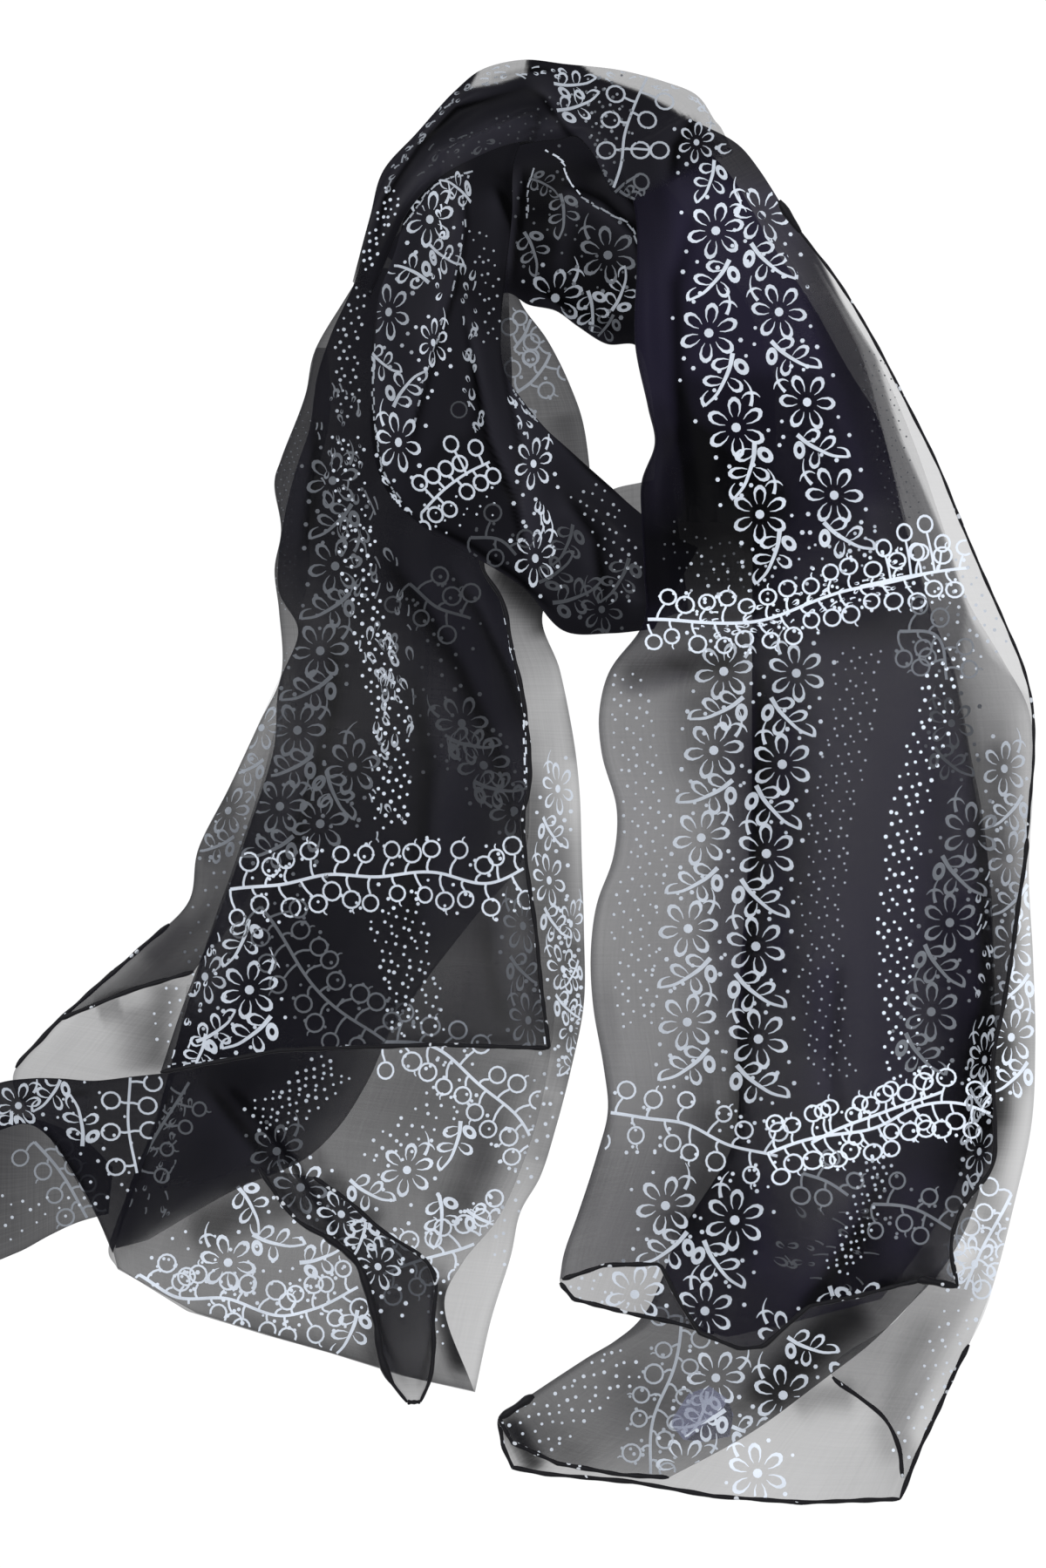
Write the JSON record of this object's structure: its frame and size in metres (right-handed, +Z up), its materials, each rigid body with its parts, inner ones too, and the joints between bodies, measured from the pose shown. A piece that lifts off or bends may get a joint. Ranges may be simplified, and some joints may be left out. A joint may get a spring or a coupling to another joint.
{
  "type": "silk stole",
  "caption": "Sheer rectangular stole with rolled hems, wound once round a neck opening and laid flat with its two folded tails side by side.",
  "frame": {"origin": "on the surface that the stole lies on, under the middle of its box", "axes": "+Z up from the surface, +Y towards the neck loop, -Y towards the ends of the two tails, +X towards the tail that lies over the loop"},
  "size_m": [0.497, 0.6616, 0.0289],
  "materials": {
    "sheer_cloth": "sheer black plain weave, semi-matt with a faint sheen on folds",
    "pleated_cloth": "the same sheer black cloth gathered into many layers, near opaque",
    "print": "bluish off-white printed outlines, matt",
    "rolled_hem": "narrow hand-rolled hem with light flecks of the print"
  },
  "bodies": {
    "root": {"left_tail_ground": "sheer_cloth", "left_tail_rim": "sheer_cloth", "left_tail_lobe": "sheer_cloth", "left_corner_under": "sheer_cloth", "left_tail_second": "sheer_cloth", "left_tail_middle": "sheer_cloth", "left_corner_upper": "sheer_cloth", "left_tail_tie": "pleated_cloth", "left_tail_panel": "sheer_cloth", "neck_back_inner": "pleated_cloth", "neck_crossing_under": "sheer_cloth", "neck_crossing": "pleated_cloth", "right_tail_under": "sheer_cloth", "right_tail_turned_edge": "sheer_cloth", "right_tail_panel": "sheer_cloth", "neck_back_outer": "pleated_cloth"}
  },
  "joints": []
}
